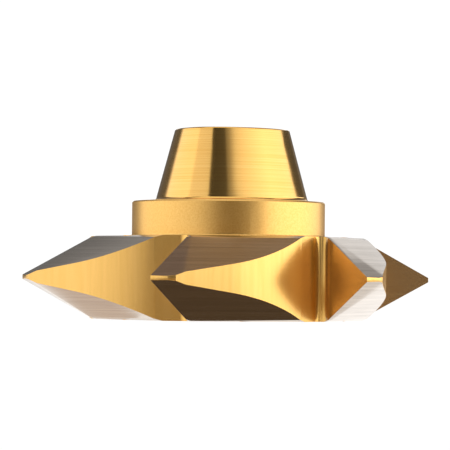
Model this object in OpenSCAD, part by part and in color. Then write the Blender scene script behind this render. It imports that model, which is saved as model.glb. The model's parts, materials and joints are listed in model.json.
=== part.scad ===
// Exchangeable V-profile milling head: six ground teeth round a core, clamped to a taper stub.
// The frame stands on the flat underside, with +Z along the tool axis towards the spindle.

/* [Cutting disc] */
// Diameter across the tooth tips
tip_d = 32; // [31:0.25:34]
// Thickness of the disc between its two flat faces
disc_t = 6.4; // [6.2:0.1:7]
// Included angle of the V profile
v_angle = 60; // [58:0.5:62]
// Width of the flat land at the tooth tip
tip_flat = 0.35; // [0.2:0.05:0.5]
// Positive rake of the cutting face
rake = 8.7; // [6:0.1:10]
// Half height where the V flank ends and the shallow bevel starts
flank_top = 3.03; // [2.9:0.01:3.05]
// Slope of the shallow bevel between a V flank and a flat face
bevel_slope = 19; // [16:1:22]
// Fall of the primary flank facet for each millimetre behind the edge
primary_fall = 0.085; // [0.06:0.005:0.1]

/* [Tooth back] */
// Length of the straight part of the tooth back
back_len = 4.5; // [4:0.1:5]
// Direction of the straight part, counted from the tooth's own radius
back_dir = 134; // [133:0.5:135]
// Radius of the rounded part of the tooth back
back_r = 12; // [11:0.5:13]
// Turn of the rounded part
back_turn = 32; // [30:1:33]
// Radius of the fillet at the root of a gullet
root_r = 0.6; // [0.3:0.05:0.7]

/* [Core] */
// Diameter of the core that carries the teeth
core_d = 18.4; // [18:0.1:18.6]
// Width of the key on the back of a tooth
key_w = 3.2; // [2.5:0.1:3.6]
// Depth of the key
key_depth = 1; // [0.6:0.1:1.2]
// Diameter of the counterbore for the clamp screw
cbore_d = 9.8; // [9.6:0.1:10.4]
// Depth of the counterbore
cbore_depth = 2.9; // [2.8:0.05:3.1]

/* [Collar] */
// Diameter of the collar
collar_d = 15; // [14.6:0.1:15.4]
// Height of the collar
collar_h = 2.75; // [2.6:0.05:3]
// Radius of the fillet at the collar's foot
collar_fillet = 0.18; // [0.1:0.01:0.25]
// Break on the collar's upper edge
collar_break = 0.12; // [0.05:0.01:0.2]

/* [Taper stub] */
// Width of the three-lobed taper at its free end
taper_top_d = 8.9; // [8.6:0.1:9.2]
// Length of the taper
taper_len = 5.25; // [5:0.05:5.6]
// Half angle of the taper
taper_half = 15; // [14:0.5:15.5]
// Diameter of the foot that seats on the collar
foot_d = 12.9; // [12.6:0.1:13]
// How far the centres of the taper's arcs lie from the axis: 0 makes it round
lobe_offset = 2; // [0:0.1:2.2]
// Radius of the flare between the taper and its foot
foot_flare = 0.3; // [0.1:0.02:0.32]
// Diameter of the spigot through the collar and the core
spigot_d = 8; // [7.6:0.1:8.2]
// Bore of the thread for the draw bolt, at the free end
draw_bore_d = 4.2; // [4:0.1:4.4]
// Depth of that bore
draw_bore_depth = 5.2; // [4:0.1:5.4]

/* [Clamp screw and pins] */
// Diameter of the screw's thread
screw_d = 4; // [3.8:0.1:4]
// Pitch of the screw's thread
screw_pitch = 0.7; // [0.7:0.05:0.8]
// Length under the head
screw_len = 6; // [5.6:0.1:6.2]
// Diameter of the screw's head
head_d = 7.2; // [6.8:0.1:7.6]
// Height of the screw's head
head_h = 2; // [1.8:0.05:2.1]
// Size of the hexagon socket across its flats
hex_af = 2.5; // [2:0.5:3]
// Outer diameter of the washer
washer_d = 9.2; // [8.9:0.1:9.3]
// Thickness of the washer
washer_t = 0.7; // [0.5:0.05:0.7]
// Diameter of a drive pin
pin_d = 1.5; // [1.2:0.1:1.6]
// Length of a drive pin
pin_len = 3; // [2.4:0.2:3.4]

/* [Hidden] */
$fn = 96;
TEETH = 6;
PINS = 3;
LOBES = 3;
PITCH = 360 / TEETH;
FAR = 60;

mid = disc_t / 2;
tip_r = tip_d / 2;
core_r = core_d / 2;
collar_z = disc_t;
foot_z = collar_z + collar_h;
seat_depth = 0.1;
foot_h = 0.36;
taper_z = foot_z + foot_h;
taper_foot_r = taper_top_d / 2 + taper_len * tan(taper_half);
top_z = taper_z + taper_len;
taper_break = 0.08;
spigot_z = cbore_depth + 0.3;
thread_play = 0.05;
tapped_top_z = 8.4;
head_z = cbore_depth - washer_t - head_h;
washer_z = head_z + head_h;
washer_bore_r = screw_d / 2 + 0.15;
pin_ring_r = 5.9;
pin_z = disc_t - pin_len / 2;

// Points and lines of the plan outline, with the tooth's tip on +X
function along(p, a, len) = [p.x + len * cos(a), p.y + len * sin(a)];
function turned(p, a) = [p.x * cos(a) - p.y * sin(a), p.x * sin(a) + p.y * cos(a)];
function crossing(p, a, q, b) =
    along(p, a, ((q.x - p.x) * sin(b) - (q.y - p.y) * cos(b)) / sin(b - a));

tip = [tip_r, 0];
rake_dir = 180 - rake;
land_end = along(tip, 95.5, 1.3);
land_heel = along(land_end, 109, 0.58);
back_start = along(land_heel, back_dir, back_len);
back_centre = along(back_start, back_dir + 90, back_r);
wall_dir = back_dir + back_turn;
back_end = along(back_centre, wall_dir - 90, back_r);
root = crossing(back_end, wall_dir, turned(tip, PITCH), rake_dir + PITCH);
gullet_angle = rake_dir + PITCH - wall_dir;
root_tangent = root_r / tan(gullet_angle / 2);
root_centre = along(root, wall_dir - 180 + gullet_angle / 2, root_r / sin(gullet_angle / 2));
gullet_mouth = along(root, wall_dir - 180 + gullet_angle / 2, FAR / 2);
seam = atan2(root.y, root.x);

// Flank facets fall away from the mid plane as height = top - out * x - back * y
primary_out = tan(v_angle / 2);
primary_top = tip_flat / 2 + primary_out * tip_r;
secondary_out = 0.52;
secondary_back = 0.285;
secondary_top = 9.03;

// All that lies under one sloping plane, height = top - out * x - back * y
module under_plane(top, out, back) {
    slope = sqrt(out * out + back * back);
    translate([0, 0, top]) rotate([0, atan(slope), atan2(back, out)])
        translate([-FAR, -FAR, -2 * FAR]) cube(2 * FAR);
}

// The shallow bevel that joins a flank facet to the flat face
module flank_bevel(top, out, back) {
    ease = tan(bevel_slope) / sqrt(out * out + back * back);
    under_plane(flank_top + (top - flank_top) * ease, out * ease, back * ease);
}

// The four planes that shape the upper side of a tooth
module upper_side() {
    intersection() {
        under_plane(primary_top, primary_out, primary_fall);
        under_plane(secondary_top, secondary_out, secondary_back);
        flank_bevel(primary_top, primary_out, primary_fall);
        flank_bevel(secondary_top, secondary_out, secondary_back);
    }
}

// Fillet at the foot of the gullet behind a tooth
module root_fillet() {
    difference() {
        polygon([along(root, wall_dir, 0.3), along(root, wall_dir, -root_tangent),
                 along(root, rake_dir + PITCH, -root_tangent),
                 along(root, rake_dir + PITCH, 0.3)]);
        translate(root_centre) circle(root_r);
    }
}

// Plan of one tooth from the seam in front of it to the seam behind it
module tooth_plan() {
    intersection() {
        union() {
            polygon([[0, 0], turned(root, -PITCH), tip, land_end, land_heel, back_start,
                     back_end, root]);
            intersection() {
                translate(back_centre) circle(back_r, $fn = 360);
                polygon([back_centre, along(back_start, back_dir - 90, 2),
                         along(back_end, wall_dir - 90, 2)]);
            }
            root_fillet();
            rotate(-PITCH) root_fillet();
        }
        polygon([[0, 0], turned(root, -PITCH), turned(gullet_mouth, -PITCH), [FAR, 0],
                 gullet_mouth, root]);
    }
}

// The straight key that locates a tooth in the core, made longer at both ends to cut its slot
module key(longer) {
    rotate(seam - PITCH / 2) translate([core_r - key_depth, -key_w / 2, -longer])
        cube([key_depth + 0.4, key_w, disc_t + 2 * longer]);
}

module tooth(k) {
    color("goldenrod") rotate(k * PITCH)
    union() {
        difference() {
            translate([0, 0, mid]) intersection() {
                translate([0, 0, -mid]) linear_extrude(disc_t) tooth_plan();
                upper_side();
                mirror([0, 0, 1]) upper_side();
            }
            translate([0, 0, -1]) cylinder(r = core_r, h = disc_t + 2);
        }
        key(0);
    }
}

module cutter_core() {
    color("darkgoldenrod") difference() {
        cylinder(r = core_r, h = disc_t);
        for (k = [0 : TEETH - 1]) rotate(k * PITCH) key(1);
        translate([0, 0, -1]) cylinder(d = cbore_d, h = cbore_depth + 1);
        cylinder(d = spigot_d, h = disc_t + 1);
        drive_pins();
    }
}

module collar() {
    r = collar_d / 2;
    color("goldenrod") difference() {
        translate([0, 0, collar_z]) rotate_extrude() difference() {
            polygon([[spigot_d / 2, 0], [r + collar_fillet, 0], [r + collar_fillet, collar_fillet],
                     [r, collar_fillet], [r, collar_h - collar_break], [r - collar_break, collar_h],
                     [foot_d / 2, collar_h], [foot_d / 2, collar_h - seat_depth],
                     [spigot_d / 2, collar_h - seat_depth]]);
            translate([r + collar_fillet, collar_fillet]) circle(collar_fillet);
        }
        drive_pins();
    }
}

// One 60 degree sector of the taper, centred on -X, with its radius changed by grow
module taper_sector(grow) {
    foot = taper_foot_r + grow;
    top = taper_top_d / 2 + grow;
    rotate(180 - 180 / LOBES / 2) rotate_extrude(angle = 180 / LOBES) difference() {
        polygon([[0, taper_z - foot_flare], [foot + foot_flare, taper_z - foot_flare],
                 [foot + foot_flare, taper_z], [foot, taper_z],
                 [top + taper_break * tan(taper_half), top_z - taper_break],
                 [top - taper_break, top_z], [0, top_z]]);
        translate([foot + foot_flare, taper_z]) circle(foot_flare);
    }
}

// Three lobes of constant width: each arc's centre is the corner of a triangle, and each corner
// has a tight arc outside it and a wide arc on the far side
module lobed_taper() {
    half_side = lobe_offset * sin(180 / LOBES);
    for (k = [0 : LOBES - 1]) rotate(k * 360 / LOBES) translate([lobe_offset, 0]) {
        rotate(180) taper_sector(-half_side);
        taper_sector(half_side);
    }
}

module taper_stub() {
    foot_r = foot_d / 2;
    spigot_r = spigot_d / 2;
    color("gold") difference() {
        union() {
            rotate_extrude() polygon([[0, spigot_z], [spigot_r, spigot_z],
                                      [spigot_r, foot_z - seat_depth], [foot_r, foot_z - seat_depth],
                                      [foot_r, taper_z - foot_flare], [0, taper_z - foot_flare]]);
            lobed_taper();
        }
        translate([0, 0, top_z - draw_bore_depth]) cylinder(d = draw_bore_d, h = FAR);
        translate([0, 0, spigot_z - 1])
            cylinder(r = screw_d / 2 + thread_play, h = tapped_top_z - spigot_z + 1);
    }
}

module drive_pins() {
    color("silver") for (k = [0 : PINS - 1]) rotate(k * 360 / PINS + seam - PITCH / 2)
        translate([pin_ring_r, 0, pin_z]) cylinder(d = pin_d, h = pin_len);
}

module clamp_washer() {
    color("dimgray") translate([0, 0, washer_z]) difference() {
        cylinder(d = washer_d, h = washer_t);
        translate([0, 0, -1]) cylinder(r = washer_bore_r, h = washer_t + 2);
    }
}

module clamp_screw() {
    r = screw_d / 2;
    root_d = r - 0.6 * screw_pitch;
    neck = 0.6;
    turns = floor((screw_len - neck) / screw_pitch - 0.5);
    threads = [for (k = [0 : turns - 1], s = [0, 0.5])
        [s == 0 ? root_d : r, neck + (k + s) * screw_pitch]];
    color("dimgray") difference() {
        union() {
            translate([0, 0, head_z]) cylinder(d1 = head_d - 0.4, d2 = head_d, h = 0.2);
            translate([0, 0, head_z + 0.2]) cylinder(d = head_d, h = head_h - 0.2);
            translate([0, 0, washer_z]) rotate_extrude()
                polygon(concat([[0, -0.1], [r - 0.1, -0.1], [r - 0.1, neck - 0.1]], threads,
                               [[root_d, neck + turns * screw_pitch], [root_d, screw_len],
                                [0, screw_len]]));
        }
        translate([0, 0, head_z - 1]) cylinder(d = hex_af / cos(30), h = 2.2, $fn = 6);
    }
}

taper_stub();
collar();
cutter_core();
tooth(0);  // tooth_1
tooth(1);  // tooth_2
tooth(2);  // tooth_3
tooth(3);  // tooth_4
tooth(4);  // tooth_5
tooth(5);  // tooth_6
drive_pins();
clamp_washer();
clamp_screw();
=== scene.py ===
"""V-profile milling head: six carbide teeth round a core, a collar and a ground taper stub.

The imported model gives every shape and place. Each piece here is a copy of its CAD node with a
finish of its own, and all of them but the core have softened edges.
"""
import json
import math

import bpy
from mathutils import Matrix, Vector


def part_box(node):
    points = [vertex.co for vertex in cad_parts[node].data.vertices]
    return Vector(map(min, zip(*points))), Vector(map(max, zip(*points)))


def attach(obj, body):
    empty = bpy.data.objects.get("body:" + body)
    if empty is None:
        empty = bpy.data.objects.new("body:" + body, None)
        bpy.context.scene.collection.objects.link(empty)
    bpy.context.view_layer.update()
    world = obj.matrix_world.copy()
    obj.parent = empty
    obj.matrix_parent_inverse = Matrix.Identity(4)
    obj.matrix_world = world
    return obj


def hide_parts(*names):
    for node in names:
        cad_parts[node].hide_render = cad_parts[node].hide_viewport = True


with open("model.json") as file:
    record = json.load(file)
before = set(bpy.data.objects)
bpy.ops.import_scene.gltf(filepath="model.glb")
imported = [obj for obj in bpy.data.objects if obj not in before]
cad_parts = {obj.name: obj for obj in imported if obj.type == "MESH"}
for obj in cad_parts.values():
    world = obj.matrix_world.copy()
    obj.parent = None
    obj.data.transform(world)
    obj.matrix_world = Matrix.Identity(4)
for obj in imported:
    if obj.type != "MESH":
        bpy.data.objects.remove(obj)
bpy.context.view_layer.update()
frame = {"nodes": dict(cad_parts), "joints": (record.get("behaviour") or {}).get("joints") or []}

MM = 0.001

# ---------------------------------------------------------------- driving sizes
core_low, core_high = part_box("cutter_core")
mid_z = (core_low.z + core_high.z) / 2
TEETH = 6
RAKE_TURN = math.radians(98.7)      # from a tooth's tip clockwise to the normal of its rake face
LOBE_OFFSET = 2 * MM                # from the tool axis to the centre of each arc of the taper
TAPER_SLOPE = math.radians(15)
ARC_REACH = math.radians(30.1)      # half of one of the taper's six arcs, and a hair over
WELD = 0.002 * MM                   # corners closer than this are one corner
SAME_FACE = math.radians(0.2)       # triangles that turn less than this are one face
SHARP = math.radians(12)            # edges that turn more than this are broken
SMOOTH = math.radians(28)           # edges that turn less than this are shaded smooth
travel = next(j for j in frame["joints"] if j["name"] == "washer_travel")["range_m"][1]


# ---------------------------------------------------------------- materials
def linear(code):
    """An sRGB hex colour as linear red, green, blue and alpha."""
    values = [int(code[i:i + 2], 16) / 255 for i in (1, 3, 5)]
    return [v / 12.92 if v <= 0.04045 else ((v + 0.055) / 1.055) ** 2.4 for v in values] + [1.0]


def node(tree, kind, links=None, **settings):
    """Adds a node, sets its properties and inputs, and links its inputs from other sockets."""
    made = tree.nodes.new(kind)
    for name, value in settings.items():
        if hasattr(made, name):
            setattr(made, name, value)
        else:
            made.inputs[name.replace("_", " ")].default_value = value
    for socket, source in (links or {}).items():
        tree.links.new(source, made.inputs[socket])
    return made


def metal(name, colour, roughness, anisotropy=0.0):
    """A material with a metallic shader, and its tree and shader."""
    made = bpy.data.materials.new(name)
    made.use_nodes = True
    shader = made.node_tree.nodes["Principled BSDF"]
    shader.inputs["Base Color"].default_value = linear(colour)
    shader.inputs["Metallic"].default_value = 1.0
    shader.inputs["Roughness"].default_value = roughness
    shader.inputs["Anisotropic"].default_value = anisotropy
    return made, made.node_tree, shader


def marks(tree, level, upright, detail=3.0, roughness=0.6):
    """The marks of a grind: a noise drawn out to `level` mm sideways and `upright` mm up and down."""
    place = node(tree, "ShaderNodeTexCoord")
    drawn = node(tree, "ShaderNodeMapping", {"Vector": place.outputs["Object"]},
                 Scale=(1 / (level * MM), 1 / (level * MM), 1 / (upright * MM)))
    return node(tree, "ShaderNodeTexNoise", {"Vector": drawn.outputs["Vector"]},
                Scale=1.0, Detail=detail, Roughness=roughness)


def grain(tree, size, detail=2.0):
    """A noise without direction, of a size in mm."""
    place = node(tree, "ShaderNodeTexCoord")
    return node(tree, "ShaderNodeTexNoise", {"Vector": place.outputs["Object"]},
                Scale=1 / (size * MM), Detail=detail)


def drawn_round(tree, shader):
    """Draws reflections out as marks that run round the tool axis would."""
    tangent = node(tree, "ShaderNodeTangent", direction_type="RADIAL", axis="Z")
    tree.links.new(tangent.outputs["Tangent"], shader.inputs["Tangent"])


def relief(tree, shader, pattern, depth):
    """Bump from a noise, with its depth in mm."""
    bump = node(tree, "ShaderNodeBump", {"Height": pattern.outputs["Fac"]}, Strength=1.0,
                Distance=depth * MM)
    tree.links.new(bump.outputs["Normal"], shader.inputs["Normal"])


def shade_by(tree, shader, pattern, dark, light, low=0.3, high=0.7):
    """Colour that runs between two sRGB values as a noise runs from low to high."""
    tone = node(tree, "ShaderNodeMapRange", {"Value": pattern.outputs["Fac"]}, From_Min=low,
                From_Max=high, To_Min=0.0, To_Max=1.0)
    ramp = node(tree, "ShaderNodeMix", {"Factor": tone.outputs["Result"]}, data_type="RGBA")
    ramp.inputs[6].default_value = linear(dark)
    ramp.inputs[7].default_value = linear(light)
    tree.links.new(ramp.outputs[2], shader.inputs["Base Color"])


def ground_taper():
    """Titanium nitride on a ground taper: fine level rings that draw light out up and down it,
    and a sharp reflection round it."""
    made, tree, shader = metal("nitride_ground", "#F1BF6B", 0.11, 0.7)
    drawn_round(tree, shader)
    # Rings 0.08 mm apart, coarser than a real grind leaves, so that they show
    rings = marks(tree, 12.0, 0.08)
    relief(tree, shader, rings, 0.0004)
    shade_by(tree, shader, rings, "#EAB45E", "#F4C474")
    return made


def satin_collar():
    """Titanium nitride on the blasted collar and core: an even satin with a very fine grain."""
    made, tree, shader = metal("nitride_satin", "#F0BE74", 0.34)
    blasting = grain(tree, 0.12)
    relief(tree, shader, blasting, 0.002)
    shade_by(tree, shader, blasting, "#EAB662", "#F5C675")
    return made


def polished_gullet():
    """Titanium nitride on wheel-ground tooth backs and gullets: smooth, with upright marks."""
    made, tree, shader = metal("nitride_gullet", "#F1BF6B", 0.27)
    upright = marks(tree, 0.25, 6, 2.0, 0.5)
    relief(tree, shader, upright, 0.0005)
    shade_by(tree, shader, upright, "#EEBC67", "#F3C270")
    return made


def ground_rake():
    """Titanium nitride on the rake faces: a duller bronze tone, with level marks."""
    made, tree, shader = metal("nitride_rake", "#D1AB79", 0.26)
    level = marks(tree, 3, 0.15, 3.0, 0.5)
    relief(tree, shader, level, 0.0003)
    shade_by(tree, shader, level, "#CCA574", "#D6B07E")
    return made


def bare_flank():
    """Tungsten carbide ground bare after coating: grey with a warm cast and level grinding lines."""
    made, tree, shader = metal("carbide_ground", "#CCBFB0", 0.17, 0.3)
    drawn_round(tree, shader)
    grooves = marks(tree, 14.0, 0.1)
    relief(tree, shader, grooves, 0.0016)
    shade_by(tree, shader, grooves, "#B6A899", "#D0C3B5")
    return made


def ground_pin():
    """Hardened steel dowel, centreless ground."""
    made, tree, shader = metal("steel_ground", "#B9BABD", 0.22)
    relief(tree, shader, marks(tree, 3.0, 0.08), 0.001)
    return made


def black_oxide():
    """Alloy steel with black oxide: a dark, slightly oily sheen with faint blotches."""
    made, tree, shader = metal("steel_black_oxide", "#3A3A3D", 0.33)
    shade_by(tree, shader, grain(tree, 0.8, 4.0), "#303033", "#424246", low=0.35)
    relief(tree, shader, grain(tree, 0.07), 0.001)
    return made


taper_gold = ground_taper()
collar_gold = satin_collar()
gullet_gold = polished_gullet()
rake_bronze = ground_rake()
flank_grey = bare_flank()
pin_grey = ground_pin()
oxide_black = black_oxide()


# ---------------------------------------------------------------- pieces
def only(obj):
    """Deselects everything, then makes obj the active and only selected object."""
    bpy.ops.object.select_all(action="DESELECT")
    obj.select_set(True)
    bpy.context.view_layer.objects.active = obj


def merged_copy(cad_node, name, whole_faces=True):
    """A copy of a CAD node with its own mesh, welded, its triangles merged into whole faces."""
    source = frame["nodes"][cad_node]
    made = bpy.data.objects.new(name, source.data.copy())
    bpy.context.scene.collection.objects.link(made)
    only(made)
    if made.data.has_custom_normals:
        bpy.ops.mesh.customdata_custom_splitnormals_clear()
    bpy.ops.object.mode_set(mode="EDIT")
    bpy.ops.mesh.select_all(action="SELECT")
    bpy.ops.mesh.remove_doubles(threshold=WELD)
    if whole_faces:
        bpy.ops.mesh.dissolve_limited(angle_limit=SAME_FACE)
    bpy.ops.object.mode_set(mode="OBJECT")
    made.data.materials.clear()
    return made


def soften(made, width, clamp=True):
    """Breaks the sharp edges of a piece, `width` mm wide, and shades it smoothly between them."""
    only(made)
    edge = made.modifiers.new("broken_edges", "BEVEL")
    edge.width = width * MM
    edge.segments = 2
    edge.use_clamp_overlap = clamp
    edge.limit_method = "ANGLE"
    edge.angle_limit = SHARP
    edge.harden_normals = False
    bpy.ops.object.modifier_apply(modifier=edge.name)
    bpy.ops.object.shade_smooth_by_angle(angle=SMOOTH)
    flat = made.modifiers.new("flat_faces", "WEIGHTED_NORMAL")
    flat.mode = "FACE_AREA"
    flat.weight = 50
    flat.keep_sharp = True
    bpy.ops.object.modifier_apply(modifier=flat.name)


def settle(made, body, slot, *nodes):
    """Says which body a piece rides on and hides the CAD nodes it stands in for. The slot is not
    used.
    """
    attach(made, body)
    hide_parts(*nodes)


def finish_tooth(number):
    """A tooth: coated all over, with its flank facets and their bevels ground bare."""
    cad_node = "tooth_%d" % number
    made = merged_copy(cad_node, "v_" + cad_node)
    for material in (gullet_gold, flank_grey, rake_bronze):
        made.data.materials.append(material)
    tip_angle = math.radians(360 / TEETH * (number - 1))
    rake_normal = Vector((math.cos(tip_angle - RAKE_TURN), math.sin(tip_angle - RAKE_TURN), 0))
    soften(made, 0.015, clamp=False)
    for face in made.data.polygons:
        # The flanks slope, while the two faces of the disc are level
        if 0.8 < abs(face.normal.z) < 0.995:
            face.material_index = 1
        elif face.normal.dot(rake_normal) > 0.9:
            face.material_index = 2
    settle(made, "head", "carbide_teeth", cad_node)


def finish_plain(cad_node, name, body, slot, material, width):
    """A piece of one finish, with its sharp edges broken unless the width is 0."""
    made = merged_copy(cad_node, name, width > 0)
    made.data.materials.append(material)
    if width:
        soften(made, width)
    else:
        bpy.ops.object.shade_smooth_by_angle(angle=SMOOTH)
    settle(made, body, slot, cad_node)
    return made


def shade_taper(made):
    """Points the shading of the lobed flank straight away from the centre of each of its arcs."""
    mesh = made.data
    up = Vector((0, 0, math.sin(TAPER_SLOPE)))
    normals = [corner.vector.copy() for corner in mesh.corner_normals]
    for face in mesh.polygons:
        heights = [mesh.vertices[v].co.z for v in face.vertices]
        # Only the tall faces at about the taper's slope belong to the flank
        if not 0.15 < face.normal.z < 0.4 or max(heights) - min(heights) < 0.5 * MM:
            continue
        for corner in face.loop_indices:
            place = mesh.vertices[mesh.loops[corner].vertex_index].co
            for turn in range(6):
                # Even turns are the lobes' tight arcs, and odd ones the wide arcs between them
                facing = Vector((math.cos(math.pi * turn / 3), math.sin(math.pi * turn / 3), 0))
                centre = facing * LOBE_OFFSET * (1 if turn % 2 == 0 else -1)
                away = Vector((place.x - centre.x, place.y - centre.y, 0)).normalized()
                if away.dot(facing) > math.cos(ARC_REACH):
                    normals[corner] = away * math.cos(TAPER_SLOPE) + up
    mesh.normals_split_custom_set(normals)


for number in range(1, TEETH + 1):
    finish_tooth(number)
shade_taper(finish_plain("taper_stub", "ground_taper_stub", "head", "nitride_polished",
                         taper_gold, 0.03))
finish_plain("collar", "satin_collar", "head", "nitride_satin", collar_gold, 0.03)
finish_plain("cutter_core", "coated_core", "head", "nitride_satin", collar_gold, 0)
finish_plain("drive_pins", "ground_pins", "head", "pin_steel", pin_grey, 0.05)
finish_plain("clamp_washer", "turned_washer", "washer", "screw_steel", oxide_black, 0.05)
finish_plain("clamp_screw", "cap_screw", "screw", "screw_steel", oxide_black, 0.04)


# ---------------------------------------------------------------- floor, lights and camera
VIEW_AZIMUTH = -9.5
CAMERA_DISTANCE = 210 * MM
# The camera's small turns from a level line of sight through the tool axis, in degrees
CAMERA_UP, CAMERA_LEFT, CAMERA_ROLL = 1.133, 0.072, 0.5
FLOOR_GAP = 0.05 * MM
FLOOR_Z = -travel - FLOOR_GAP       # just under the screw when it hangs lowest
RING_R = 0.4
RING_FULL = 2.0                     # a ring's strength where its colour ramp is white
view_turn = Matrix.Rotation(math.radians(VIEW_AZIMUTH), 4, "Z")


def glow(name, colour, strength):
    """A plain emitting surface."""
    made = bpy.data.materials.new(name)
    made.use_nodes = True
    tree = made.node_tree
    tree.nodes.remove(tree.nodes["Principled BSDF"])
    light = node(tree, "ShaderNodeEmission", Color=linear(colour), Strength=strength)
    tree.links.new(light.outputs["Emission"], tree.nodes["Material Output"].inputs["Surface"])
    return made


def glow_round(name, stops):
    """An emitting surface whose strength follows the azimuth: stops are (degrees, strength)."""
    made = glow(name, "#FFFFFF", RING_FULL)
    tree = made.node_tree
    place = node(tree, "ShaderNodeTexCoord")
    turn = node(tree, "ShaderNodeMapping", {"Vector": place.outputs["Object"]},
                Rotation=(0, 0, math.radians(90 - VIEW_AZIMUTH)))
    round_it = node(tree, "ShaderNodeTexGradient", {"Vector": turn.outputs["Vector"]},
                    gradient_type="RADIAL")
    ramp = node(tree, "ShaderNodeValToRGB", {"Fac": round_it.outputs["Fac"]})
    elements = ramp.color_ramp.elements
    elements.remove(elements[1])
    for count, (degrees, strength) in enumerate(stops):
        where = degrees / 360 + 0.5
        stop = elements[0] if count == 0 else elements.new(where)
        stop.position = where
        stop.color = [strength / RING_FULL] * 3 + [1]
    light = next(n for n in tree.nodes if n.type == "EMISSION")
    tree.links.new(ramp.outputs["Color"], light.inputs["Color"])
    return made


def stage_only(made, material):
    """Makes an object part of the studio: mirrored by the metal, but not seen or casting shadows."""
    made.data.materials.append(material)
    made.visible_camera = False
    made.visible_diffuse = False
    made.visible_shadow = False


def ring(name, low, high, material):
    """An open ring of light round the tool axis, between two elevations in degrees."""
    bottom = RING_R * math.tan(math.radians(low))
    top = RING_R * math.tan(math.radians(high))
    bpy.ops.object.select_all(action="DESELECT")
    bpy.ops.mesh.primitive_cylinder_add(vertices=180, radius=RING_R, depth=top - bottom,
                                        end_fill_type="NOTHING", location=(0, 0, (bottom + top) / 2))
    made = bpy.context.object
    made.name = name
    bpy.ops.object.transform_apply(location=True, rotation=False, scale=False)
    stage_only(made, material)


def card(name, right, away, z, width, depth, material):
    """A level card, placed in mm to the right of the axis and away from the camera."""
    bpy.ops.object.select_all(action="DESELECT")
    bpy.ops.mesh.primitive_plane_add(size=1)
    made = bpy.context.object
    made.name = name
    made.data.transform(view_turn @ Matrix.Translation((right * MM, away * MM, z))
                        @ Matrix.Diagonal((width * MM, depth * MM, 1, 1)))
    stage_only(made, material)


def floor():
    """A pale floor, seen from above only, so that the underside can be looked at through it."""
    bpy.ops.object.select_all(action="DESELECT")
    bpy.ops.mesh.primitive_circle_add(vertices=128, radius=1.6, fill_type="NGON",
                                      location=(0, 0, FLOOR_Z))
    made = bpy.context.object
    made.name = "pale_floor"
    pale = bpy.data.materials.new("floor_white")
    pale.use_nodes = True
    tree = pale.node_tree
    shader = tree.nodes["Principled BSDF"]
    shader.inputs["Base Color"].default_value = linear("#A0A0A0")
    shader.inputs["Roughness"].default_value = 0.9
    shader.inputs["Specular IOR Level"].default_value = 0.0
    shader.inputs["Emission Color"].default_value = (1, 1, 1, 1)
    shader.inputs["Emission Strength"].default_value = 0.97
    clear = node(tree, "ShaderNodeBsdfTransparent")
    side = node(tree, "ShaderNodeNewGeometry")
    either = node(tree, "ShaderNodeMixShader", {"Fac": side.outputs["Backfacing"],
                                                1: shader.outputs["BSDF"], 2: clear.outputs["BSDF"]})
    tree.links.new(either.outputs["Shader"], tree.nodes["Material Output"].inputs["Surface"])
    made.data.materials.append(pale)


def backdrop():
    """A white surround that the metal doesn't mirror, so that its edges stay dark."""
    bpy.ops.object.select_all(action="DESELECT")
    bpy.ops.mesh.primitive_uv_sphere_add(segments=48, ring_count=24, radius=1.5)
    made = bpy.context.object
    made.name = "white_surround"
    made.data.materials.append(glow("surround_white", "#FFFFFF", 1.05))
    made.visible_glossy = False
    made.visible_diffuse = False
    made.visible_shadow = False


floor()
backdrop()

# Two softboxes with a dark gap between them at the camera, wider low down than high up
upper_sides = [(-134, 0.1), (-128, 1.38), (-74, 1.35), (-71, 1.05), (-26, 0.95), (-24, 0.07),
               (16, 0.1), (25, 0.4), (34, 1.0), (52, 1.35), (80, 1.75), (120, 1.65), (125, 0.1)]
ring("ring_low", -0.8, 12, glow_round("ring_low", [
    (-180, 0.15), (-130, 0.12), (-125, 1.4), (-90, 1.4), (-62, 1.3), (-50, 1.2), (-36, 1.05),
    (-26, 0.8), (-18, 0.5), (-10, 0.28), (-5, 0.16), (18, 0.16), (32, 0.22), (38, 0.7),
    (47, 2.3), (60, 2.5), (100, 2.4), (114, 2.0), (134, 1.6), (142, 0.2), (180, 0.15)]))
ring("ring_middle", 12, 28, glow_round("ring_middle", [
    (-180, 1.2), (-173, 1.1), (-168, 0.2)] + upper_sides
    + [(150, 0.1), (160, 0.8), (172, 1.1), (180, 1.2)]))
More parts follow.
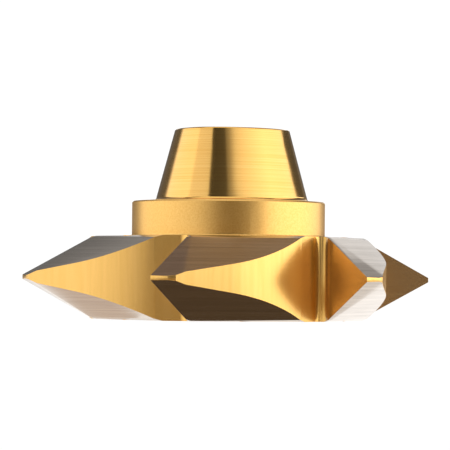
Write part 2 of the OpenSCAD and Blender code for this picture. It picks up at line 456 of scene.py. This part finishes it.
ring("ring_high", 28, 50, glow_round("ring_high", [
    (-180, 0.42), (-172, 0.4), (-166, 0.36), (-155, 0.36)] + upper_sides
    + [(148, 0.1), (155, 0.42), (180, 0.42)]))
level = FLOOR_Z + FLOOR_GAP
card("camera_side_flag", 5, -215, level, 130, 380, glow("flag_dark", "#FFDCA8", 0.32))
card("under_shade", 2, -7.8, level, 24, 10.4, glow("shade_dark", "#FFD29A", 0.11))
# Painted shade: a dimmer, warmer patch of floor left of the head, seen only in the metal's reflection
card("painted_floor_shade_left", -17, 7, level, 14, 9, glow("painted_floor_shade", "#FFEAD8", 0.8))
floor_bright = glow("floor_bright", "#FFFFFF", 1.35)
card("floor_bright_left", -10, 20, level, 30, 16, floor_bright)
card("floor_bright_right", 16, 22, level, 18, 30, floor_bright)
card("floor_bright_middle", 0, 1, level, 20, 6, floor_bright)
card("overhead", 0, -60, 0.35, 420, 400, glow("overhead_soft", "#FFFFFF", 1.0))
card("ceiling_left", -106, 210, 0.33, 200, 130, glow("ceiling_dim", "#F0C8A8", 0.24))
card("ceiling_right", 104, 210, 0.33, 220, 130, glow("ceiling_warm", "#FFCF90", 0.36))

world = bpy.data.worlds.new("studio_dark")
world.use_nodes = True
world.node_tree.nodes["Background"].inputs["Color"].default_value = (0.16, 0.155, 0.15, 1)
world.node_tree.nodes["Background"].inputs["Strength"].default_value = 1.0
bpy.context.scene.world = world


def camera():
    """A long lens, level with the middle of the disc."""
    data = bpy.data.cameras.new("camera")
    data.lens = 216
    data.sensor_width = 36
    data.clip_start = 0.01
    data.clip_end = 10
    made = bpy.data.objects.new("camera", data)
    bpy.context.scene.collection.objects.link(made)
    turn = math.radians(VIEW_AZIMUTH)
    back = Vector((math.sin(turn), -math.cos(turn), 0))
    made.location = back * CAMERA_DISTANCE + Vector((0, 0, mid_z))
    tilt = Matrix.Rotation(math.radians(90 + CAMERA_UP), 4, "X")
    pan = Matrix.Rotation(turn + math.radians(CAMERA_LEFT), 4, "Z")
    roll = Matrix.Rotation(math.radians(CAMERA_ROLL), 4, "Z")
    made.rotation_euler = (pan @ tilt @ roll).to_euler()
    bpy.context.scene.camera = made


camera()
bpy.context.scene.view_settings.view_transform = "Standard"
